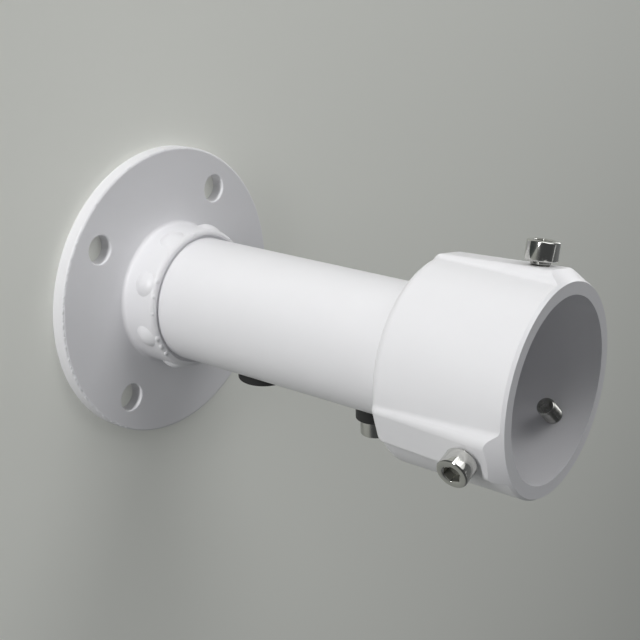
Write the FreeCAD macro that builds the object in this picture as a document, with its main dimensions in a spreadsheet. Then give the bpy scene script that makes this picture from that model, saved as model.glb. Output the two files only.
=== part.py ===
import FreeCAD, Part
import Sketcher
import math
import os
from FreeCAD import Placement, Rotation, Vector

# Camera ceiling bracket, in millimetres.
# The origin is the centre of the flange's mounting face and +Z runs up the tube to the
# mouth of the camera socket. Angles are counted about +Z from +X.

doc = FreeCAD.newDocument("camera_ceiling_bracket")

# Driving dimensions
DRIVING = [
    ("overall_height", 160, "mounting face to the mouth of the socket"),
    ("tube_diameter", 44.2, "outside"),
    ("tube_wall", 3, ""),
    ("seat_clearance", 0.05, "gap all round the tube in its two seats"),
    ("flange_diameter", 105.5, ""),
    ("flange_thickness", 4.8, ""),
    ("flange_edge_radius", 1, "rounding of the flange's front edge"),
    ("seat_ledge", 2, "thickness of the ledge that the tube stands on"),
    ("hole_inset", 11.25, "flange's edge to the centres of the mounting holes"),
    ("hole_diameter", 10, "mounting holes"),
    ("hole_count", 4, "mounting holes"),
    ("first_hole_angle", 65.5, "degrees"),
    ("hole_edge_break", 0.5, "rounding of the holes' front edges"),
    ("collar_height", 19, "from the mounting face"),
    ("collar_wall", 3.15, "outside the tube's seat"),
    ("collar_edge_radius", 1.8, "rounding of the collar's rim"),
    ("collar_foot_radius", 1.2, "between collar and flange"),
    ("collar_groove_width", 1.2, "open ring between the rim and the tube"),
    ("collar_groove_depth", 2.2, ""),
    ("knob_count", 8, "round knobs on the collar"),
    ("knob_diameter", 8, ""),
    ("knob_height", 1.4, "above the collar"),
    ("knob_level", 13.8, "from the mounting face"),
    ("first_knob_angle", 30.6, "degrees"),
    ("socket_bore_diameter", 57.5, "the camera's stem goes in here"),
    ("socket_wall", 4.65, "at the mouth, before the cone is cut"),
    ("socket_rim_width", 3.95, "flat ring around the mouth"),
    ("socket_length", 44.8, "mouth to the flat back"),
    ("socket_back_radius", 3.5, "rounding round the back, ribs included"),
    ("neck_wall", 2, "short neck round the tube, outside the seat"),
    ("neck_length", 1.4, "how far the neck stands out of the back"),
    ("socket_depth", 38, "mouth to the floor inside"),
    ("socket_floor_thickness", 2, "ledge over the tube's end"),
    ("socket_corner_radius", 5, "between bore and floor"),
    ("rib_count", 3, "also the number of clamp screws"),
    ("first_rib_angle", 60, "degrees"),
    ("rib_height", 2.4, "above the socket's wall, at the mouth"),
    ("rib_flat_width", 10, "flat strip that the screw stands on"),
    ("rib_flank_angle", 60, "degrees, steepness of the sides"),
    ("rib_draft", 2.5, "degrees, the ribs sink toward the back"),
    ("rib_edge_radius", 2, "rounding between flat and sides, at the back"),
    ("rib_foot_radius", 2, "hollow between rib and socket"),
    ("mouth_cone_slope", 1.5, "run along the axis for each 1 across"),
    ("screw_diameter", 6, "thread"),
    ("screw_clearance", 0.05, "all round the shank in its hole"),
    ("screw_head_diameter", 10, ""),
    ("screw_head_height", 6, ""),
    ("screw_head_rounding", 0.6, "outer edge of the head"),
    ("key_width", 5, "hexagon across flats"),
    ("key_depth", 3, ""),
    ("screw_point_chamfer", 0.9, ""),
    ("clamp_screw_length", 16, "under the head"),
    ("clamp_screw_inset", 11.7, "mouth to the screws' axes"),
    ("clamp_screw_gap", 1, "head to rib, as tightened in the photo"),
    ("side_angle", 12, "degrees, line of the plug and the safety screw"),
    ("safety_screw_length", 12, "under the head"),
    ("safety_screw_gap", 20.6, "socket's back to the screw's axis"),
    ("washer_diameter", 13, ""),
    ("washer_height", 3.9, "above the tube's crest"),
    ("plug_level", 47.5, "from the mounting face"),
    ("plug_lip_diameter", 19, ""),
    ("plug_lip_height", 1.1, "above the tube's crest"),
    ("plug_edge_radius", 0.6, "rounding of the lip"),
    ("plug_neck_diameter", 13, ""),
    ("plug_neck_clearance", 0.05, "all round the neck in the tube's hole"),
    ("plug_inner_lip_diameter", 16, ""),
    ("plug_inner_lip_height", 2.6, "inside the tube"),
]

sheet = doc.addObject("Spreadsheet::Sheet", "sizes")
for row, (alias, number, note) in enumerate(DRIVING, 1):
    sheet.set("A%d" % row, alias)
    sheet.set("B%d" % row, str(number))
    sheet.set("C%d" % row, note)
    sheet.setAlias("B%d" % row, alias)
doc.recompute()


class Size:
    """A size with its present value and the expression that binds it to the sheet."""

    def __init__(self, value, text):
        self.value = value
        self.text = text

    def join(self, sign, other, value):
        other_text = other.text if isinstance(other, Size) else str(other)
        return Size(value, "(%s %s %s)" % (self.text, sign, other_text))

    def __add__(self, other):
        return self.join("+", other, self.value + number_of(other))

    def __sub__(self, other):
        return self.join("-", other, self.value - number_of(other))

    def __mul__(self, other):
        return self.join("*", other, self.value * number_of(other))

    def __truediv__(self, other):
        return self.join("/", other, self.value / number_of(other))

    def __neg__(self):
        return Size(-self.value, "(0 - %s)" % self.text)


def number_of(size):
    """The plain number of a size or of a number."""
    return size.value if isinstance(size, Size) else size


def driving(alias):
    """A driving dimension from the sheet."""
    return Size(float(sheet.get(alias)), "sizes." + alias)


def root(size):
    """Square root of a size."""
    return Size(math.sqrt(size.value), "sqrt(%s)" % size.text)


def sine(angle):
    """Sine of an angle in degrees."""
    return Size(math.sin(math.radians(angle.value)), "sin(%s)" % angle.text)


def cosine(angle):
    """Cosine of an angle in degrees."""
    return Size(math.cos(math.radians(angle.value)), "cos(%s)" % angle.text)


def tangent(angle):
    """Tangent of an angle in degrees."""
    return Size(math.tan(math.radians(angle.value)), "tan(%s)" % angle.text)


def bind(thing, **sizes):
    """Bind an object's properties to sizes, as in bind(pad, Length=depth)."""
    for name, size in sizes.items():
        setattr(thing, name, size.value)
        thing.setExpression(name, size.text)


# Sizes that follow from the driving dimensions
tube_radius = driving("tube_diameter") / 2
tube_bore = tube_radius - driving("tube_wall")
seat_radius = tube_radius + driving("seat_clearance")
flange_radius = driving("flange_diameter") / 2
collar_radius = seat_radius + driving("collar_wall")
mouth_level = driving("overall_height")
socket_bore = driving("socket_bore_diameter") / 2
socket_radius = socket_bore + driving("socket_wall")
floor_level = mouth_level - driving("socket_depth")
tube_top = floor_level - driving("socket_floor_thickness")
screw_level = mouth_level - driving("clamp_screw_inset")
back_level = mouth_level - driving("socket_length")
safety_level = back_level - driving("safety_screw_gap")
rib_flat = socket_radius + driving("rib_height")
clamp_head_radius = rib_flat + driving("clamp_screw_gap")
side_angle = driving("side_angle")
first_rib_angle = driving("first_rib_angle")

# How far a cutting shape runs past the surface that it cuts, and how close two places match
BEYOND = 5
CLOSE = 0.02


def new_body(label):
    """A PartDesign body with its own label."""
    body = doc.addObject("PartDesign::Body", label)
    body.Label = label
    return body


def outline(body, name, plane, corners, arcs=None, shift=None, turn=None):
    """A closed outline on one of the body's planes.

    Each corner is a pair of sizes. arcs maps the number of a side to (radius, centre) where the
    side is round. shift moves the sketch off its plane and turn turns it about the Z axis.
    """
    sketch = body.newObject("Sketcher::SketchObject", name)
    place_sketch(sketch, body, plane, shift, turn)
    points = [Vector(number_of(x), number_of(y), 0) for x, y in corners]
    arcs = arcs or {}
    for side, start in enumerate(points):
        end = points[(side + 1) % len(points)]
        if side in arcs:
            radius, centre = arcs[side]
            middle = Vector(number_of(centre[0]), number_of(centre[1]), 0)
            bulge = middle + ((start + end) / 2 - middle).normalize() * radius.value
            sketch.addGeometry(Part.Arc(start, bulge, end))
        else:
            sketch.addGeometry(Part.LineSegment(start, end))
    ends = [side_ends(sketch, side, start) for side, start in enumerate(points)]
    for side in range(len(points)):
        following = (side + 1) % len(points)
        sketch.addConstraint(
            Sketcher.Constraint("Coincident", side, ends[side][1], following, ends[following][0]))
    for side, (x, y) in enumerate(corners):
        hold(sketch, "DistanceX", side, ends[side][0], x)
        hold(sketch, "DistanceY", side, ends[side][0], y)
    for side in arcs:
        hold_radius(sketch, side, arcs[side][0])
    return sketch


def side_ends(sketch, side, start):
    """The start and end point numbers of a side, going round the outline."""
    first = sketch.Geometry[side].StartPoint
    return (1, 2) if first.distanceToPoint(start) < 1e-6 else (2, 1)


def hold(sketch, kind, side, point, size):
    """Hold one coordinate of a sketch point at a size, or on the axis where it is zero."""
    if number_of(size) == 0:
        axis = -2 if kind == "DistanceX" else -1
        sketch.addConstraint(Sketcher.Constraint("PointOnObject", side, point, axis))
        return
    constraint = Sketcher.Constraint(kind, -1, 1, side, point, number_of(size))
    number = sketch.addConstraint(constraint)
    if isinstance(size, Size):
        sketch.setExpression("Constraints[%d]" % number, size.text)


def hold_radius(sketch, side, radius):
    """Hold the radius of an arc or a circle."""
    number = sketch.addConstraint(Sketcher.Constraint("Radius", side, radius.value))
    sketch.setExpression("Constraints[%d]" % number, radius.text)


def place_sketch(sketch, body, plane, shift=None, turn=None):
    """Attach a sketch to one of its body's planes, shifted off it and turned about Z."""
    for feature in body.Origin.OriginFeatures:
        if feature.Role == plane:
            sketch.AttachmentSupport = [(feature, "")]
    sketch.MapMode = "FlatFace"
    upright = Vector(0, 0, 1) if plane == "XY_Plane" else Vector(0, 1, 0)
    offset = Placement()
    if turn:
        offset.Rotation = Rotation(upright, turn.value)
    if shift:
        offset.Base = upright * shift.value
    sketch.AttachmentOffset = offset
    if turn:
        sketch.setExpression("AttachmentOffset.Rotation.Angle", turn.text)
    if shift:
        along = "z" if plane == "XY_Plane" else "y"
        sketch.setExpression("AttachmentOffset.Base." + along, shift.text)


def rings(body, name, plane, radii, centre=(0, 0), shift=None, turn=None):
    """A sketch of circles about one centre."""
    sketch = body.newObject("Sketcher::SketchObject", name)
    place_sketch(sketch, body, plane, shift, turn)
    middle = Vector(number_of(centre[0]), number_of(centre[1]), 0)
    for side, radius in enumerate(radii):
        sketch.addGeometry(Part.Circle(middle, Vector(0, 0, 1), radius.value))
        hold(sketch, "DistanceX", side, 3, centre[0])
        hold(sketch, "DistanceY", side, 3, centre[1])
        hold_radius(sketch, side, radius)
    return sketch


def revolve(body, kind, name, sketch, axis="V_Axis"):
    """Turn a sketch all the way round an axis: kind is Revolution or Groove."""
    feature = body.newObject("PartDesign::" + kind, name)
    feature.Profile = sketch
    feature.ReferenceAxis = (sketch, [axis])
    feature.Angle = 360
    return finish(feature)


def extrude(body, kind, name, sketch, length, reverse=False):
    """Pad or Pocket a sketch by a length."""
    feature = body.newObject("PartDesign::" + kind, name)
    feature.Profile = sketch
    feature.Reversed = reverse
    bind(feature, Length=length)
    return finish(feature)


def repeat(body, name, features, sketch, count, axis):
    """Repeat features evenly round the Z axis."""
    pattern = body.newObject("PartDesign::PolarPattern", name)
    pattern.Originals = features
    pattern.Axis = (sketch, [axis])
    pattern.Angle = 360
    pattern.Occurrences = int(count.value)
    pattern.setExpression("Occurrences", count.text)
    body.Tip = pattern
    return finish(pattern)


def dress(body, kind, name, base, test, size):
    """Round or chamfer the edges of a feature that pass a test."""
    chosen = ["Edge%d" % number for number, edge in enumerate(base.Shape.Edges, 1)
              if not edge.Degenerated and test(edge)]
    feature = body.newObject("PartDesign::" + kind, name)
    feature.Base = (base, chosen)
    bind(feature, **{"Radius" if kind == "Fillet" else "Size": size})
    return finish(feature)


def finish(feature):
    """Recompute and stop at once where a feature has failed."""
    doc.recompute()
    if feature.Shape.isNull() or "Invalid" in feature.State or "Error" in feature.State:
        raise RuntimeError("%s failed: %s" % (feature.Name, feature.State))
    return feature


def ring_edge(radius, level):
    """A test for a full circle about Z, or about a line beside it, at a level."""
    def test(edge):
        curve = edge.Curve
        if not isinstance(curve, Part.Circle) or abs(curve.Axis.z) < 0.999:
            return False
        same_size = abs(curve.Radius - radius.value) < CLOSE
        return same_size and abs(curve.Center.z - level.value) < CLOSE
    return test


def build_flange():
    """Round foot and collar: one casting, bored for the tube, with knobs around the collar."""
    body = new_body("mounting_flange")
    rim_bore = tube_radius + driving("collar_groove_width")
    rim_level = driving("collar_height")
    groove_level = rim_level - driving("collar_groove_depth")
    face = driving("flange_thickness")
    ledge = driving("seat_ledge")
    section = outline(body, "flange_section", "XZ_Plane", [
        (tube_bore, 0),
        (flange_radius, 0),
        (flange_radius, face),
        (collar_radius, face),
        (collar_radius, rim_level),
        (rim_bore, rim_level),
        (rim_bore, groove_level),
        (seat_radius, groove_level),
        (seat_radius, ledge),
        (tube_bore, ledge),
    ])
    casting = revolve(body, "Revolution", "flange_casting", section)
    casting = dress(body, "Fillet", "collar_foot", casting,
                    ring_edge(collar_radius, face), driving("collar_foot_radius"))
    casting = dress(body, "Fillet", "collar_rim", casting,
                    ring_edge(collar_radius, rim_level), driving("collar_edge_radius"))
    casting = dress(body, "Fillet", "flange_edge", casting,
                    ring_edge(flange_radius, face), driving("flange_edge_radius"))

    # Each knob is the cap of a ball set into the collar
    knob_radius = driving("knob_diameter") / 2
    knob_height = driving("knob_height")
    ball = (knob_radius * knob_radius + knob_height * knob_height) / (knob_height * 2)
    ball_centre = collar_radius + knob_height - ball
    knob_root = collar_radius - driving("collar_wall") / 5
    root_width = root(ball * ball - (knob_root - ball_centre) * (knob_root - ball_centre))
    knob_section = outline(body, "knob_section", "XZ_Plane", [
        (knob_root, 0),
        (collar_radius + knob_height, 0),
        (knob_root, root_width),
    ], arcs={1: (ball, (ball_centre, 0))},
        shift=driving("knob_level"), turn=driving("first_knob_angle"))
    knob = revolve(body, "Revolution", "knob", knob_section, "H_Axis")
    casting = repeat(body, "knobs", [knob], knob_section, driving("knob_count"), "V_Axis")

    angle = driving("first_hole_angle")
    circle_radius = flange_radius - driving("hole_inset")
    hole_radius = driving("hole_diameter") / 2
    hole_sketch = rings(body, "hole_sketch", "XY_Plane", [hole_radius],
                        centre=(circle_radius * cosine(angle), circle_radius * sine(angle)))
    hole = extrude(body, "Pocket", "hole", hole_sketch, face + BEYOND, reverse=True)
    casting = repeat(body, "holes", [hole], hole_sketch, driving("hole_count"), "N_Axis")
    dress(body, "Fillet", "hole_edges", casting,
          ring_edge(hole_radius, face), driving("hole_edge_break"))
    return body


def build_tube():
    """Round tube with a hole for the plug and a hole for the safety screw."""
    body = new_body("tube")
    section = rings(body, "tube_section", "XY_Plane", [tube_radius, tube_bore],
                    shift=driving("seat_ledge"))
    extrude(body, "Pad", "tube_wall_pad", section, tube_top - driving("seat_ledge"))
    plug_hole = driving("plug_neck_diameter") / 2 + driving("plug_neck_clearance")
    screw_hole = driving("screw_diameter") / 2 + driving("screw_clearance")
    for name, radius, level in (
        ("plug_hole", plug_hole, driving("plug_level")),
        ("safety_screw_hole", screw_hole, safety_level),
    ):
        circle = rings(body, name + "_sketch", "YZ_Plane", [radius], centre=(0, level),
                       turn=side_angle)
        extrude(body, "Pocket", name, circle, tube_radius + BEYOND, reverse=True)
    return body


def build_socket():
    """Cast cup on the tube's upper end, with three ribs that carry the clamp screws."""
    body = new_body("camera_socket")
    outer = outline(body, "socket_section", "XZ_Plane", [
        (0, back_level),
        (socket_radius, back_level),
        (socket_radius, mouth_level),
        (0, mouth_level),
    ])
    revolve(body, "Revolution", "socket_casting", outer)

    # Ribs: a flat strip with rounded, sloping sides, over the whole length of the cup
    draft = driving("rib_draft")
    sink = driving("socket_length") * tangent(draft)
    flat = rib_flat - sink
    rib_root = socket_bore + sink
    flank = driving("rib_flank_angle")
    edge_radius = driving("rib_edge_radius")
    half_flat = driving("rib_flat_width") / 2
    edge_centre = flat - edge_radius
    flank_top = edge_centre + edge_radius * cosine(flank)
    half_top = half_flat + edge_radius * sine(flank)
    half_root = half_top + (flank_top - rib_root) / tangent(flank)
    rib_section = outline(body, "rib_section", "XY_Plane", [
        (rib_root, -half_root),
        (flank_top, -half_top),
        (flat, -half_flat),
        (flat, half_flat),
        (flank_top, half_top),
        (rib_root, half_root),
    ], arcs={
        1: (edge_radius, (edge_centre, -half_flat)),
        3: (edge_radius, (edge_centre, half_flat)),
    }, shift=back_level, turn=first_rib_angle)
    rib = extrude(body, "Pad", "rib", rib_section, driving("socket_length"))
    bind(rib, TaperAngle=draft)
    finish(rib)
    casting = repeat(body, "ribs", [rib], rib_section, driving("rib_count"), "N_Axis")

    def foot_edge(edge):
        """The edges where the ribs stand on the cup's round side."""
        first, last = edge.ParameterRange
        places = [edge.valueAt(first + (last - first) * part) for part in (0, 0.5, 1)]
        on_side = all(abs(math.hypot(place.x, place.y) - socket_radius.value) < CLOSE
                      for place in places)
        return on_side and abs(places[0].z - places[2].z) > CLOSE

    def back_edge(edge):
        """The outer edges of the flat back, round cup and ribs."""
        box = edge.BoundBox
        return abs(box.ZMin - back_level.value) < CLOSE and abs(box.ZMax - back_level.value) < CLOSE

    casting = dress(body, "Fillet", "rib_feet", casting, foot_edge, driving("rib_foot_radius"))
    dress(body, "Fillet", "back_edge", casting, back_edge, driving("socket_back_radius"))

    neck_radius = seat_radius + driving("neck_wall")
    neck_level = back_level - driving("neck_length")
    neck = rings(body, "neck_section", "XY_Plane", [neck_radius], shift=neck_level)
    extrude(body, "Pad", "neck", neck, driving("neck_length") + driving("socket_back_radius"))

    # The mouth's edge is turned to a cone, which also cuts the ends of the ribs
    rim_radius = socket_bore + driving("socket_rim_width")
    cone_reach = rib_flat - rim_radius + BEYOND
    cone_foot = mouth_level - cone_reach * driving("mouth_cone_slope")
    cone = outline(body, "mouth_cone_section", "XZ_Plane", [
        (rim_radius, mouth_level),
        (rim_radius + cone_reach, cone_foot),
        (rim_radius + cone_reach, mouth_level + BEYOND),
        (rim_radius, mouth_level + BEYOND),
    ])
    revolve(body, "Groove", "mouth_cone", cone)

    inside = outline(body, "inside_section", "XZ_Plane", [
        (0, neck_level - BEYOND),
        (seat_radius, neck_level - BEYOND),
        (seat_radius, tube_top),
        (tube_bore, tube_top),
        (tube_bore, floor_level),
        (socket_bore, floor_level),
        (socket_bore, mouth_level + BEYOND),
        (0, mouth_level + BEYOND),
    ])
    casting = revolve(body, "Groove", "inside", inside)
    dress(body, "Fillet", "inside_corner", casting, ring_edge(socket_bore, floor_level),
          driving("socket_corner_radius"))

    hole_radius = driving("screw_diameter") / 2 + driving("screw_clearance")
    hole_sketch = rings(body, "screw_hole_sketch", "YZ_Plane", [hole_radius],
                        centre=(0, screw_level), turn=first_rib_angle)
    hole = extrude(body, "Pocket", "screw_hole", hole_sketch, rib_flat + BEYOND, reverse=True)
    repeat(body, "screw_holes", [hole], hole_sketch, driving("rib_count"), "V_Axis")
    return body


def point_outward(thing, angle, distance, level):
    """Place a piece so that its own Z axis points straight out from the tube."""
    thing.Placement = Placement(Vector(0, 0, 0), Rotation(angle.value, 90, 0))
    for along, size in (("x", distance * cosine(angle)), ("y", distance * sine(angle)), ("z", level)):
        thing.setExpression("Placement.Base." + along, size.text)


def build_screw(label, length, angle, head_distance, level):
    """Hexagon-socket cap screw; its own origin is under the head."""
    body = new_body(label)
    shank_radius = driving("screw_diameter") / 2
    head_radius = driving("screw_head_diameter") / 2
    head_height = driving("screw_head_height")
    chamfer = driving("screw_point_chamfer")
    section = outline(body, label + "_section", "XZ_Plane", [
        (0, -length),
        (shank_radius - chamfer, -length),
        (shank_radius, chamfer - length),
        (shank_radius, 0),
        (head_radius, 0),
        (head_radius, head_height),
        (0, head_height),
    ])
    turned = revolve(body, "Revolution", label + "_turned", section)
    dress(body, "Fillet", label + "_head_edge", turned, ring_edge(head_radius, head_height),
          driving("screw_head_rounding"))
    corner_radius = driving("key_width") / 2 / math.cos(math.radians(30))
    corners = [(corner_radius * math.cos(math.radians(60 * turn + 30)),
                corner_radius * math.sin(math.radians(60 * turn + 30))) for turn in range(6)]
    hexagon = outline(body, label + "_key_section", "XY_Plane", corners, shift=head_height)
    extrude(body, "Pocket", label + "_key", hexagon, driving("key_depth"))
    point_outward(body, angle, head_distance, level)
    return body


def upright_rod(name, radius, height):
    """A plain cylinder about the tube's axis."""
    cylinder = doc.addObject("Part::Cylinder", name)
    bind(cylinder, Radius=radius, Height=height)
    return cylinder


def side_rod(name, radius, near, far, level):
    """A plain cylinder that points out of the tube's side, between two distances."""
    cylinder = doc.addObject("Part::Cylinder", name)
    bind(cylinder, Radius=radius, Height=far - near)
    point_outward(cylinder, side_angle, near, level)
    return cylinder


def combine(kind, name, first, second):
    """A Part boolean of two objects: kind is Cut or Common."""
    result = doc.addObject("Part::" + kind, name)
    result.Base = first
    result.Tool = second
    doc.recompute()
    return result


def build_safety_washer():
    """Thick spacer with a hollow underside that sits on the round tube."""
    inside_tube = tube_bore - driving("tube_wall")
    top = tube_radius + driving("washer_height")
    hole_radius = driving("screw_diameter") / 2 + driving("screw_clearance")
    blank = side_rod("washer_blank", driving("washer_diameter") / 2, inside_tube, top, safety_level)
    hole = side_rod("washer_hole", hole_radius, inside_tube - BEYOND, top + BEYOND, safety_level)
    ring = combine("Cut", "washer_ring", blank, hole)
    seat = upright_rod("washer_seat", tube_radius, mouth_level)
    washer = combine("Cut", "safety_washer", ring, seat)
    washer.Label = "safety_washer"
    return washer


def build_cable_plug():
    """Rubber plug: a lip on the tube, a neck in its hole and a lip inside."""
    level = driving("plug_level")
    lip_top = tube_radius + driving("plug_lip_height")
    inner_face = tube_bore - driving("plug_inner_lip_height")
    disc = side_rod("plug_disc", driving("plug_lip_diameter") / 2, inner_face, lip_top, level)
    doc.recompute()
    rounded = doc.addObject("Part::Fillet", "plug_disc_rounded")
    rounded.Base = disc
    radius = driving("plug_edge_radius").value
    rounded.Edges = [(number, radius, radius) for number, edge in enumerate(disc.Shape.Edges, 1)
                     if edge.Closed and math.hypot(edge.CenterOfMass.x, edge.CenterOfMass.y)
                     > tube_radius.value]
    doc.recompute()
    seat = upright_rod("plug_seat", tube_radius, mouth_level)
    lip = combine("Cut", "plug_lip", rounded, seat)
    inner_disc = side_rod("plug_inner_disc", driving("plug_inner_lip_diameter") / 2,
                          inner_face, lip_top, level)
    inner_seat = upright_rod("plug_inner_seat", tube_bore, mouth_level)
    inner_lip = combine("Common", "plug_inner_lip", inner_disc, inner_seat)
    neck = side_rod("plug_neck", driving("plug_neck_diameter") / 2, inner_face, tube_radius, level)
    plug = doc.addObject("Part::MultiFuse", "cable_plug")
    plug.Shapes = [lip, neck, inner_lip]
    plug.Label = "cable_plug"
    return plug


PIECES = [build_flange(), build_tube(), build_socket()]
for place in range(int(driving("rib_count").value)):
    PIECES.append(build_screw(
        "clamp_screw_%d" % (place + 1), driving("clamp_screw_length"),
        first_rib_angle + Size(360.0, "360") * place / driving("rib_count"),
        clamp_head_radius, screw_level))
PIECES.append(build_screw("safety_screw", driving("safety_screw_length"), side_angle,
                          tube_radius + driving("washer_height"), safety_level))
PIECES.append(build_safety_washer())
PIECES.append(build_cable_plug())

doc.recompute()
os.makedirs("parts", exist_ok=True)
for thing in doc.Objects:
    if "Invalid" in thing.State or "Error" in thing.State:
        raise RuntimeError("%s: %s" % (thing.Name, thing.State))
for piece in PIECES:
    shape = piece.Shape
    if shape.isNull() or not shape.isValid():
        raise RuntimeError(piece.Label + " has no valid shape")
    shape.exportStep(os.path.join("parts", piece.Label + ".step"))
    box = shape.BoundBox
    print(piece.Label, "volume %.0f" % shape.Volume, "solids", len(shape.Solids),
          "x %.2f %.2f y %.2f %.2f z %.2f %.2f" % (
              box.XMin, box.XMax, box.YMin, box.YMax, box.ZMin, box.ZMax))
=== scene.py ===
import bmesh
import bpy
import math
from mathutils import Matrix, Vector


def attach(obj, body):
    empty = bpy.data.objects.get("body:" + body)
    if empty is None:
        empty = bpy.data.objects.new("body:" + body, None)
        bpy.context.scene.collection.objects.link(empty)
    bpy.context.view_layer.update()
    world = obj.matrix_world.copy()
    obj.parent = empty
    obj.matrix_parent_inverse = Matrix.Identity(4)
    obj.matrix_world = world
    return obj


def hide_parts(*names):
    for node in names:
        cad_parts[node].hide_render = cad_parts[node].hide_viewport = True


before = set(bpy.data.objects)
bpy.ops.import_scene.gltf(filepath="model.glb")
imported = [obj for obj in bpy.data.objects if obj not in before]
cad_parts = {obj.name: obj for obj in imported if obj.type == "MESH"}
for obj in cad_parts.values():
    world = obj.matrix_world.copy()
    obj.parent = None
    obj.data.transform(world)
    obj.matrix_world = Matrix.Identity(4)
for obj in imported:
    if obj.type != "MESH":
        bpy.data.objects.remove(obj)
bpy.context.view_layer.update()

# Mounting foot: a round flange with four screw holes and a short collar with knobs, cast in one
# piece from aluminium and powder-coated white. The collar's rim and the flange's edge keep
# small lumps from the mould, and the coat half fills the open ring round the tube.

MM = 0.001
COAT_WHITE = (0.83, 0.826, 0.845, 1)
COAT_RELIEF = 0.05 * MM
# grain of the three unevennesses of the coat, in spots per metre
PEEL_GRAIN, WAVE_GRAIN, NIB_GRAIN = 1100, 70, 420
# a dust nib stands where the third rises over the first number, full height from the second
NIB_RISE = (0.72, 0.8)


def finish_group(name, inputs, outputs):
    """A node group for one finish, with its sockets and nothing inside."""
    group = bpy.data.node_groups.new(name, "ShaderNodeTree")
    for label, kind, value in inputs:
        socket = group.interface.new_socket(label, in_out="INPUT", socket_type=kind)
        socket.default_value = value
    for label, kind in outputs:
        group.interface.new_socket(label, in_out="OUTPUT", socket_type=kind)
    return group, group.nodes.new("NodeGroupInput"), group.nodes.new("NodeGroupOutput")


def uneven(tree, place, grain, detail):
    """Unevenness that is fixed to the piece, with its grain in spots per metre."""
    noise = tree.nodes.new("ShaderNodeTexNoise")
    noise.inputs["Scale"].default_value = grain
    noise.inputs["Detail"].default_value = detail
    tree.links.new(place.outputs["Object"], noise.inputs["Vector"])
    return noise.outputs["Fac"]


def reckon(tree, operation, *values):
    """A maths node fed with sockets or plain numbers."""
    node = tree.nodes.new("ShaderNodeMath")
    node.operation = operation
    for slot, value in zip(node.inputs, values):
        if isinstance(value, (int, float)):
            slot.default_value = value
        else:
            tree.links.new(value, slot)
    return node.outputs[0]


def shaded(tree, colour, shade):
    """A colour made darker or lighter by a shade that changes over the surface."""
    tint = tree.nodes.new("ShaderNodeVectorMath")
    tint.operation = "SCALE"
    if isinstance(colour, tuple):
        tint.inputs[0].default_value = colour
    else:
        tree.links.new(colour, tint.inputs[0])
    tree.links.new(shade, tint.inputs["Scale"])
    return tint.outputs[0]


def build_powder_coat():
    """Orange peel, slow waves, dust nibs and a slight change of shade under a powder coat."""
    group, given, result = finish_group("powder_coat", [
        ("Colour", "NodeSocketColor", COAT_WHITE),
        ("Shade change", "NodeSocketFloat", 0.03),
        ("Gloss", "NodeSocketFloat", 0.3),
        ("Gloss change", "NodeSocketFloat", 0.08),
        ("Wave height", "NodeSocketFloat", 2.0),
        ("Nibs", "NodeSocketFloat", 0.5),
    ], [("Colour", "NodeSocketColor"), ("Roughness", "NodeSocketFloat"),
        ("Height", "NodeSocketFloat")])
    place = group.nodes.new("ShaderNodeTexCoord")
    peel = uneven(group, place, PEEL_GRAIN, 2)
    waves = uneven(group, place, WAVE_GRAIN, 3)
    specks = uneven(group, place, NIB_GRAIN, 0)
    darker = reckon(group, "MULTIPLY", waves, given.outputs["Shade change"])
    shade = reckon(group, "SUBTRACT", 1, darker)
    group.links.new(shaded(group, given.outputs["Colour"], shade), result.inputs["Colour"])
    rough = reckon(group, "MULTIPLY_ADD", waves, given.outputs["Gloss change"],
                   given.outputs["Gloss"])
    group.links.new(rough, result.inputs["Roughness"])
    nib = group.nodes.new("ShaderNodeMapRange")
    nib.inputs["From Min"].default_value, nib.inputs["From Max"].default_value = NIB_RISE
    group.links.new(specks, nib.inputs["Value"])
    nib_height = reckon(group, "MULTIPLY", nib.outputs["Result"], given.outputs["Nibs"])
    surface = reckon(group, "MULTIPLY_ADD", waves, given.outputs["Wave height"], peel)
    group.links.new(reckon(group, "ADD", surface, nib_height), result.inputs["Height"])
    return group


def finished_material(name, finish, settings, relief, depth):
    """A material whose gloss and relief come from a finish; relief is its share of the depth."""
    material = bpy.data.materials.new(name)
    material.use_nodes = True
    tree = material.node_tree
    skin = tree.nodes.new("ShaderNodeGroup")
    skin.node_tree = finish
    for label, value in settings.items():
        skin.inputs[label].default_value = value
    bump = tree.nodes.new("ShaderNodeBump")
    bump.inputs["Strength"].default_value = relief
    bump.inputs["Distance"].default_value = depth
    shader = tree.nodes["Principled BSDF"]
    tree.links.new(skin.outputs["Roughness"], shader.inputs["Roughness"])
    tree.links.new(skin.outputs["Height"], bump.inputs["Height"])
    tree.links.new(bump.outputs["Normal"], shader.inputs["Normal"])
    return material, tree, skin, shader


powder_coat = build_powder_coat()


def coated_material(name, gloss, relief, wave_height, nibs):
    """White powder coat over one of the castings or the tube."""
    settings = {"Gloss": gloss, "Wave height": wave_height, "Nibs": nibs}
    material, tree, coat, shader = finished_material(name, powder_coat, settings, relief,
                                                     COAT_RELIEF)
    tree.links.new(coat.outputs["Colour"], shader.inputs["Base Color"])
    return material


def give_material(node, material):
    """Put one material on a piece of the frame."""
    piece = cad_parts[node]
    piece.data.materials.clear()
    piece.data.materials.append(material)


def place_in_scene(name, mesh):
    """An object of a mesh, put in the scene."""
    thing = bpy.data.objects.new(name, mesh)
    bpy.context.scene.collection.objects.link(thing)
    return thing


foot_coat = coated_material("foot_coat", gloss=0.34, relief=0.3, wave_height=3, nibs=0.6)
give_material("mounting_flange", foot_coat)

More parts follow.
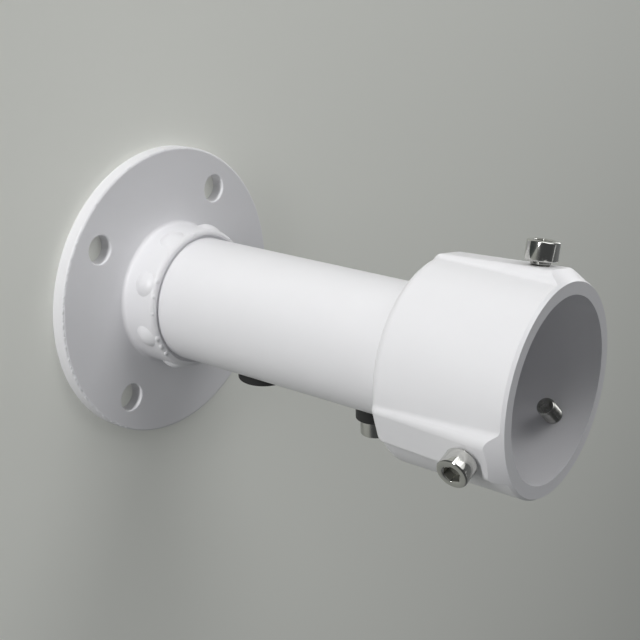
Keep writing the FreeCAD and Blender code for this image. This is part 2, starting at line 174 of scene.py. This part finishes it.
RIM_LUMPS = [
    # degrees round the collar, radius in mm, stretch round the collar
    (251, 1.0, 1.3), (264, 0.9, 1.1), (278, 0.8, 1.0), (301, 1.1, 1.2), (310, 1.05, 1.3),
    (319, 1.0, 1.2), (226, 0.7, 1.2), (196, 0.8, 1.1), (20, 0.9, 1.2), (71, 0.8, 1.3),
    (108, 1.0, 1.1), (150, 0.8, 1.2),
]
RIM_RADIUS = 24.2
RIM_LEVEL = 18.45
LUMP_FLATNESS = 0.6
# small lumps on the front edge of the flange, most of them on one side: mm and degrees
EDGE_RADIUS = 52.15
EDGE_LEVEL = 4.4
EDGE_LUMPS = 86
ROUGH_LUMPS = 62
ROUGH_FROM, ROUGH_TURN = 244, 96


def lump_piece(name, lumps, distance, level):
    """Lumps under the coat, round the foot at a distance and a level in mm.

    Each lump is its turn in degrees, its radius in mm and its stretch round the foot.
    """
    shape = bmesh.new()
    for turn, radius, stretch in lumps:
        angle = math.radians(turn)
        place = Matrix.Translation(Vector((distance * math.cos(angle),
                                           distance * math.sin(angle), level)) * MM)
        form = Matrix.Rotation(angle, 4, "Z") @ Matrix.Diagonal((1, stretch, LUMP_FLATNESS, 1))
        bmesh.ops.create_icosphere(shape, subdivisions=3, radius=radius * MM,
                                   matrix=place @ form)
    for face in shape.faces:
        face.smooth = True
    mesh = bpy.data.meshes.new(name)
    shape.to_mesh(mesh)
    shape.free()
    mesh.materials.append(foot_coat)
    return place_in_scene(name, mesh)


rim_lumps = lump_piece("rim_lumps", RIM_LUMPS, RIM_RADIUS, RIM_LEVEL)
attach(rim_lumps, "root")

scattered = []
for number in range(EDGE_LUMPS):
    share = number * 0.618 % 1
    turn = ROUGH_FROM + ROUGH_TURN * share if number < ROUGH_LUMPS else 360 * share
    scattered.append((turn, 0.48 + 0.11 * math.sin(number * 2.3), 1.6 + 0.7 * math.sin(number)))
edge_lumps = lump_piece("edge_lumps", scattered, EDGE_RADIUS, EDGE_LEVEL)
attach(edge_lumps, "root")

WELD_DISTANCE = 0.0005 * MM
SHARP_CORNER = math.radians(35)
# the coat in the open ring: radius and level in mm, once round its section
COAT_BEAD_SECTION = [(22.0, 17.2), (23.4, 17.2), (23.4, 18.5), (23.2, 18.22), (22.95, 18.05),
                     (22.7, 18.0), (22.45, 18.05), (22.2, 18.22), (22.0, 18.5)]
BEAD_SIDES = 180


def plain_ring(radius, level):
    """A round ring of a turned piece: its radius and level in mm at any angle."""
    return lambda angle: (radius, level)


def turned_mesh(name, rings, sides):
    """A mesh about Z through rings, each a function from an angle to radius and level in mm."""
    points, faces = [], []
    for ring in rings:
        for side in range(sides):
            angle = math.tau * side / sides
            radius, level = ring(angle)
            points.append((radius * math.cos(angle) * MM, radius * math.sin(angle) * MM,
                           level * MM))
    for start in range(0, (len(rings) - 1) * sides, sides):
        for side in range(sides):
            ahead = (side + 1) % sides
            faces.append((start + side, start + sides + side, start + sides + ahead,
                          start + ahead))
    mesh = bpy.data.meshes.new(name)
    mesh.from_pydata(points, [], faces)
    mesh.validate()
    return mesh


def smooth_turned(mesh):
    """Weld a turned mesh and smooth it everywhere but at its corners."""
    shape = bmesh.new()
    shape.from_mesh(mesh)
    bmesh.ops.remove_doubles(shape, verts=shape.verts, dist=WELD_DISTANCE)
    bmesh.ops.recalc_face_normals(shape, faces=shape.faces)
    for face in shape.faces:
        face.smooth = True
    for edge in shape.edges:
        edge.smooth = len(edge.link_faces) < 2 or edge.calc_face_angle(0) < SHARP_CORNER
    shape.to_mesh(mesh)
    shape.free()


bead_rings = [plain_ring(*corner) for corner in COAT_BEAD_SECTION + COAT_BEAD_SECTION[:1]]
bead_mesh = turned_mesh("coat_bead", bead_rings, BEAD_SIDES)
smooth_turned(bead_mesh)
bead_mesh.materials.append(foot_coat)
coat_bead = place_in_scene("coat_bead", bead_mesh)
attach(coat_bead, "root")

# Tube: a plain drawn aluminium tube, 44 mm wide, that stands in the foot and holds the socket.
# Its coat is the smoothest of the three.

give_material("tube", coated_material("tube_coat", gloss=0.3, relief=0.14, wave_height=1.5,
                                      nibs=0.2))

# Camera socket: a cast aluminium cup with three ribs, tapped for the clamp screws. The mouth is
# turned after casting, and the whole is coated white like the foot.

give_material("camera_socket", coated_material("socket_coat", gloss=0.3, relief=0.2,
                                               wave_height=2, nibs=0.3))

# Cap screws: three M6 x 16 screws clamp the camera's stem, and one M6 x 12 holds a safety cord.
# They are turned from stainless steel, with a rolled thread, a rounded head edge, a punched
# hexagon hole and a sheared point, and are screwed into tapped holes.

SCREW_RADIUS = 3.0
HEAD_RADIUS = 5.0
HEAD_HEIGHT = 6.0
HEAD_ROUNDING = 0.6
ROUNDING_STEPS = 8
HEAD_FILLET = 0.35
KEY_WIDTH = 5.0
KEY_FLOOR = 3.0
# radius and level of what the drill left under the hexagon hole, from its middle
DRILL_POINT = [(0.0, KEY_FLOOR - 0.9), (1.2, KEY_FLOOR - 0.45), (2.3, KEY_FLOOR)]
# the hexagon hole from its floor up: share of its width, extra width and level
HEXAGON_HOLE = [(0.985, 0.0, KEY_FLOOR), (1.0, 0.0, KEY_FLOOR + 0.05),
                (1.0, 0.0, HEAD_HEIGHT - 0.35), (1.0, 0.04, HEAD_HEIGHT - 0.22)]
# radius and level of the lead-in at the top of the hole, out to the head's rounding
LEAD_IN = [(3.05, HEAD_HEIGHT - 0.06), (3.15, HEAD_HEIGHT),
           (HEAD_RADIUS - HEAD_ROUNDING, HEAD_HEIGHT)]
# radius and level of the head's lower edge, in to the shank
UNDER_HEAD = [(HEAD_RADIUS, 0.35), (HEAD_RADIUS - 0.08, 0.15), (HEAD_RADIUS - 0.3, 0.0),
              (SCREW_RADIUS + HEAD_FILLET, 0.0), (SCREW_RADIUS, -HEAD_FILLET)]
THREAD_PITCH = 1.0
THREAD_DEPTH = 0.5
THREAD_RINGS = 10
# half the groove at the crest, and one flank, as shares of the pitch
GROOVE_HALF, GROOVE_FLANK = 0.44, 0.29
# length without rings of thread, both ends together, and where the thread fades out
THREAD_FREE, FADE_AT_HEAD, FADE_AT_POINT = 0.9, 0.8, 0.3
# the sheared point: radius and height above the end, from the last thread to the middle
POINT_PROFILE = [(2.95, 0.5), (2.62, 0.08), (2.45, 0.0), (2.3, 0.02), (2.0, 0.12), (1.7, 0.22),
                 (1.3, 0.29), (0.9, 0.34), (0.5, 0.37), (0.0, 0.38)]
POINT_HEIGHT = 0.42
SHEAR_RADIUS = 2.3
SHEAR_MARK = 0.16
SCREW_SIDES = 96
TURNED, PUNCHED_AND_SHADED, ROLLED, SHEARED = range(4)


def hexagon_ring(share, wider, level):
    """A ring of the hexagon hole, as a share of its width and a little more."""
    part = math.radians(60)

    def ring(angle):
        side = KEY_WIDTH / 2 / math.cos((angle + part / 2) % part - part / 2)
        return side * share + wider, level
    return ring


def thread_ring(level, length):
    """A ring of the rolled thread, which fades out at both ends."""
    fade = min(1.0, max(0.0, -level - FADE_AT_HEAD),
               max(0.0, 2 * (length + level - FADE_AT_POINT)))

    def ring(angle):
        turn = (level / THREAD_PITCH - angle / math.tau) % 1.0
        groove = min(1.0, max(0.0, (GROOVE_HALF - abs(turn - 0.5)) / GROOVE_FLANK))
        return SCREW_RADIUS - THREAD_DEPTH * groove * fade, level
    return ring


def point_ring(radius, rise, length):
    """A ring of the point, uneven inside where the wire was sheared off."""
    inner = max(0.0, min(1.0, (SHEAR_RADIUS - radius) / 0.6))
    height = SHEAR_MARK * inner * min(1.0, radius)

    def ring(angle):
        mark = height * math.sin(3 * angle + 1.3) * math.sin(2 * angle + 3 * radius)
        return radius, rise - length + mark
    return ring


def screw_rings(length):
    """Rings of a screw from the middle of its key hole, over the head and down to the point."""
    rings = [plain_ring(*place) for place in DRILL_POINT]
    rings += [hexagon_ring(*place) for place in HEXAGON_HOLE]
    rings += [plain_ring(*place) for place in LEAD_IN]
    for step in range(1, ROUNDING_STEPS + 1):
        bend = math.radians(90 * step / ROUNDING_STEPS)
        rings.append(plain_ring(HEAD_RADIUS - HEAD_ROUNDING * (1 - math.sin(bend)),
                                HEAD_HEIGHT - HEAD_ROUNDING * (1 - math.cos(bend))))
    rings += [plain_ring(*place) for place in UNDER_HEAD]
    steps = int((length - THREAD_FREE) / THREAD_PITCH * THREAD_RINGS)
    for step in range(1, steps + 1):
        rings.append(thread_ring(-HEAD_FILLET - (length - THREAD_FREE) * step / steps, length))
    return rings + [point_ring(radius, rise, length) for radius, rise in POINT_PROFILE]


def steel_surface(middle, length):
    """How the steel was worked at a place on the screw, in mm from under the head."""
    outward = math.hypot(middle.x, middle.y)
    # the punched hexagon hole gets a darker steel, which is painted shade in the recess
    if 0.1 < middle.z < HEAD_HEIGHT - 0.2 and outward < KEY_WIDTH * 0.56:
        return PUNCHED_AND_SHADED
    if middle.z < POINT_HEIGHT - length and outward < SCREW_RADIUS - 0.5:
        return SHEARED
    return ROLLED if middle.z < -0.4 else TURNED


def screw_mesh(name, length):
    """One cap screw as a closed mesh, its axis along Z and its origin under the head."""
    mesh = turned_mesh(name, screw_rings(length), SCREW_SIDES)
    for face in mesh.polygons:
        face.material_index = steel_surface(face.center / MM, length)
    smooth_turned(mesh)
    return mesh


STEEL_RELIEF = 0.01 * MM
MARK_GRAIN, SMUDGE_GRAIN = 300, 260
MARK_STRETCH = (1, 1, 30)


def build_tool_marks():
    """Fine turning marks round an axis and a few smudges, for bright turned steel."""
    group, given, result = finish_group("tool_marks", [
        ("Steel", "NodeSocketColor", (0.6, 0.6, 0.58, 1)),
        ("Polish", "NodeSocketFloat", 0.12),
        ("Smudge", "NodeSocketFloat", 0.1),
    ], [("Colour", "NodeSocketColor"), ("Roughness", "NodeSocketFloat"),
        ("Height", "NodeSocketFloat")])
    place = group.nodes.new("ShaderNodeTexCoord")
    stretch = group.nodes.new("ShaderNodeMapping")
    stretch.inputs["Scale"].default_value = MARK_STRETCH
    group.links.new(place.outputs["Object"], stretch.inputs["Vector"])
    marks = group.nodes.new("ShaderNodeTexNoise")
    marks.inputs["Scale"].default_value = MARK_GRAIN
    group.links.new(stretch.outputs["Vector"], marks.inputs["Vector"])
    smudges = uneven(group, place, SMUDGE_GRAIN, 3)
    rough = reckon(group, "MULTIPLY_ADD", smudges, given.outputs["Smudge"],
                   given.outputs["Polish"])
    group.links.new(rough, result.inputs["Roughness"])
    fade = reckon(group, "MULTIPLY_ADD", smudges, -0.15, 1.05)
    group.links.new(shaded(group, given.outputs["Steel"], fade), result.inputs["Colour"])
    group.links.new(marks.outputs["Fac"], result.inputs["Height"])
    return group


tool_marks = build_tool_marks()


def steel_material(name, colour, polish, smudge):
    """Stainless steel, bright where it is turned and dull where it is punched; the punched hole's
    darker colour is painted shade.
    """
    settings = {"Steel": colour, "Polish": polish, "Smudge": smudge}
    material, tree, marks, shader = finished_material(name, tool_marks, settings, 0.1,
                                                      STEEL_RELIEF)
    shader.inputs["Metallic"].default_value = 1
    tree.links.new(marks.outputs["Colour"], shader.inputs["Base Color"])
    return material


# in the order of the worked surfaces above
steels = [
    steel_material("turned_steel", (0.66, 0.66, 0.63, 1), 0.07, 0.1),
    # the punched hexagon hole is duller, and its darker colour is painted shade in the recess
    steel_material("punched_steel_painted_shade", (0.32, 0.32, 0.29, 1), 0.45, 0.2),
    steel_material("rolled_steel", (0.42, 0.42, 0.4, 1), 0.12, 0.2),
    steel_material("sheared_steel", (0.38, 0.38, 0.35, 1), 0.2, 0.15),
]
clamp_screw_mesh = screw_mesh("clamp_screw", 16.0)
safety_screw_mesh = screw_mesh("safety_screw_steel", 12.0)
for steel in steels:
    clamp_screw_mesh.materials.append(steel)
    safety_screw_mesh.materials.append(steel)

SCREWS = [
    # frame node, mesh, degrees round the tube, head's underside from the axis and level in mm,
    # turn of the hexagon in degrees
    ("clamp_screw_1", clamp_screw_mesh, 60, 36.8, 148.3, 10),
    ("clamp_screw_2", clamp_screw_mesh, 180, 36.8, 148.3, 25),
    ("clamp_screw_3", clamp_screw_mesh, 300, 36.8, 148.3, 48),
    ("safety_screw", safety_screw_mesh, 12, 26.0, 94.6, 17),
]
for node, mesh, turn, distance, level, key_turn in SCREWS:
    screw = place_in_scene(node + "_detail", mesh)
    angle = math.radians(turn)
    place = Matrix.Translation(Vector((distance * math.cos(angle), distance * math.sin(angle),
                                       level)) * MM)
    outward = Matrix.Rotation(angle, 4, "Z") @ Matrix.Rotation(math.radians(90), 4, "Y")
    screw.matrix_world = place @ outward @ Matrix.Rotation(math.radians(key_turn), 4, "Z")
    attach(screw, "root")
    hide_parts(node)

# Safety screw's spacer: a thick black nylon ring under the safety screw's head, moulded, and
# hollowed below so that it sits on the round tube.

MOULDED_RELIEF = 0.03 * MM
PATCH_GRAIN = 150


def build_mould_skin():
    """Fine even grain and slow change of gloss, for moulded plastic and rubber."""
    group, given, result = finish_group("mould_skin", [
        ("Gloss", "NodeSocketFloat", 0.5),
        ("Grain size", "NodeSocketFloat", 1500.0),
    ], [("Roughness", "NodeSocketFloat"), ("Shade", "NodeSocketFloat"),
        ("Height", "NodeSocketFloat")])
    place = group.nodes.new("ShaderNodeTexCoord")
    grain = group.nodes.new("ShaderNodeTexNoise")
    group.links.new(place.outputs["Object"], grain.inputs["Vector"])
    group.links.new(given.outputs["Grain size"], grain.inputs["Scale"])
    patches = uneven(group, place, PATCH_GRAIN, 2)
    rough = reckon(group, "MULTIPLY_ADD", patches, 0.15, given.outputs["Gloss"])
    group.links.new(rough, result.inputs["Roughness"])
    shade = reckon(group, "MULTIPLY_ADD", patches, 0.5, 0.75)
    group.links.new(shade, result.inputs["Shade"])
    group.links.new(grain.outputs["Fac"], result.inputs["Height"])
    return group


mould_skin = build_mould_skin()


def moulded_material(name, colour, gloss, relief):
    """Black moulded plastic or rubber."""
    material, tree, skin, shader = finished_material(name, mould_skin, {"Gloss": gloss}, relief,
                                                     MOULDED_RELIEF)
    tree.links.new(shaded(tree, colour, skin.outputs["Shade"]), shader.inputs["Base Color"])
    return material


give_material("safety_washer", moulded_material("black_nylon", (0.02, 0.02, 0.02), 0.35, 0.1))

# Cable plug: a black rubber plug that closes the tube's side hole, pushed in until its inner lip
# snaps behind the wall. The cable comes out here when it can't go through the ceiling.

give_material("cable_plug", moulded_material("black_rubber", (0.018, 0.018, 0.018), 0.55, 0.3))

# Studio: a pale floor that the foot stands on, a dark card that shows only as a painted
# reflection, an even grey fill with a painted reflection for glossy rays, soft lamps and the
# photograph's camera.

FLOOR_HALF = 4.0
FLOOR_GREY = (0.785, 0.795, 0.745, 1)
FLOOR_GLOW = 0.07


def flat_sheet(name, left, right, front, back, level):
    """A level rectangle in the scene, with its edges in metres."""
    mesh = bpy.data.meshes.new(name)
    mesh.from_pydata([(left, front, level), (right, front, level), (right, back, level),
                      (left, back, level)], [], [(0, 1, 2, 3)])
    return place_in_scene(name, mesh)


def stage_material(name, colour, roughness):
    """A plain dull material for the stage."""
    material = bpy.data.materials.new(name)
    material.use_nodes = True
    shader = material.node_tree.nodes["Principled BSDF"]
    shader.inputs["Base Color"].default_value = colour
    shader.inputs["Roughness"].default_value = roughness
    return material, material.node_tree, shader


floor = flat_sheet("floor", -FLOOR_HALF, FLOOR_HALF, -FLOOR_HALF, FLOOR_HALF, 0)
floor_material, floor_tree, floor_shader = stage_material("pale_floor", FLOOR_GREY, 0.8)
floor_shader.inputs["Emission Color"].default_value = FLOOR_GREY
ray = floor_tree.nodes.new("ShaderNodeLightPath")
seen = reckon(floor_tree, "MAXIMUM", ray.outputs["Is Camera Ray"], ray.outputs["Is Glossy Ray"])
seen = reckon(floor_tree, "MAXIMUM", seen, ray.outputs["Is Transmission Ray"])
floor_tree.links.new(reckon(floor_tree, "MULTIPLY", seen, FLOOR_GLOW),
                     floor_shader.inputs["Emission Strength"])
floor.data.materials.append(floor_material)

# the card lies in front of the foot, just over the floor
CARD_EDGES = (-1.0, 0.04, -1.5, -0.06)
PAINTED_REFLECTION_DARK = (0.1, 0.115, 0.11, 1)
reflection_card = flat_sheet("painted_reflection_card", *CARD_EDGES, MM)
reflection_card.data.materials.append(stage_material("painted_reflection_card", PAINTED_REFLECTION_DARK, 0.9)[0])
# the card is hidden from the camera, from light and from shadows: it is only a painted dark
# reflection
reflection_card.visible_camera = False
reflection_card.visible_diffuse = False
reflection_card.visible_shadow = False

# the room is a soft even fill on paint; glossy rays see instead a painted reflection that lights
# nothing, darker, and lighter behind the bracket and in a band round the horizon
ROOM_TINT = (0.96, 0.985, 1, 1)
ROOM_LIGHT = 0.17
PAINTED_REFLECTION_LEVEL = 0.07
PAINTED_REFLECTION_FAR_SIDE = 0.13
PAINTED_REFLECTION_HORIZON = 0.07
HORIZON_BAND_STEEPNESS = 4
world = bpy.data.worlds.new("studio")
world.use_nodes = True
room = world.node_tree
room.nodes["Background"].inputs["Color"].default_value = ROOM_TINT
room_ray = room.nodes.new("ShaderNodeLightPath")
way = room.nodes.new("ShaderNodeTexCoord")
split = room.nodes.new("ShaderNodeSeparateXYZ")
room.links.new(way.outputs["Generated"], split.inputs[0])
far_side = reckon(room, "MAXIMUM", split.outputs["Y"], 0)
slope = reckon(room, "ABSOLUTE", split.outputs["Z"])
horizon_band = reckon(room, "MAXIMUM", reckon(room, "MULTIPLY_ADD", slope, -HORIZON_BAND_STEEPNESS, 1), 0)
painted_reflection = reckon(room, "MULTIPLY_ADD", far_side, PAINTED_REFLECTION_FAR_SIDE, PAINTED_REFLECTION_LEVEL)
painted_reflection = reckon(room, "MULTIPLY_ADD", horizon_band, PAINTED_REFLECTION_HORIZON, painted_reflection)
change = reckon(room, "SUBTRACT", painted_reflection, ROOM_LIGHT)
# glossy rays see the painted reflection in place of the even fill
room.links.new(reckon(room, "MULTIPLY_ADD", room_ray.outputs["Is Glossy Ray"], change, ROOM_LIGHT),
               room.nodes["Background"].inputs["Strength"])
bpy.context.scene.world = world

LAMPS = [
    # name, place, width and height in metres, power in watts
    ("key_strip", (-0.9, 0, 0.11), (0.7, 0.1), 0.19),
    ("key_lamp", (-0.8, 0, 0.42), (0.6, 0.6), 0.47),
    ("high_lamp", (-0.65, 0, 0.7), (0.6, 0.6), 0.3),
    ("side_strip", (-0.3, -0.85, 0.11), (0.7, 0.1), 1.38),
    ("far_lamp", (-0.4, 0.8, 0.16), (0.6, 0.24), 0.32),
    ("mouth_strip", (0.12, 0.33, 0.92), (0.6, 0.05), 0.02),
]
LAMP_SPREAD = math.radians(90)
LAMP_TARGET = Vector((0, 0, 0.08))
for name, place, (width, height), power in LAMPS:
    light = bpy.data.lights.new(name, "AREA")
    light.shape = "RECTANGLE"
    light.size = width
    light.size_y = height
    light.energy = power
    light.spread = LAMP_SPREAD
    lamp = place_in_scene(name, light)
    lamp.location = place
    lamp.rotation_euler = (LAMP_TARGET - Vector(place)).to_track_quat("-Z", "Y").to_euler()

CAMERA_PLACE = Vector((-0.08124, -0.31688, 0.29818))
CAMERA_RIGHT = Vector((-0.10615, 0.59517, 0.79658))
CAMERA_UP = Vector((-0.97469, 0.09626, -0.20180))
SENSOR_WIDTH = 36
LENS = 66.89
lens = bpy.data.cameras.new("camera")
lens.sensor_width = SENSOR_WIDTH
lens.lens = LENS
lens.clip_start = 0.01
camera = place_in_scene("camera", lens)
facing = Matrix((CAMERA_RIGHT, CAMERA_UP, CAMERA_RIGHT.cross(CAMERA_UP))).transposed().to_4x4()
camera.matrix_world = Matrix.Translation(CAMERA_PLACE) @ facing
bpy.context.scene.camera = camera
bpy.context.scene.view_settings.view_transform = "Standard"
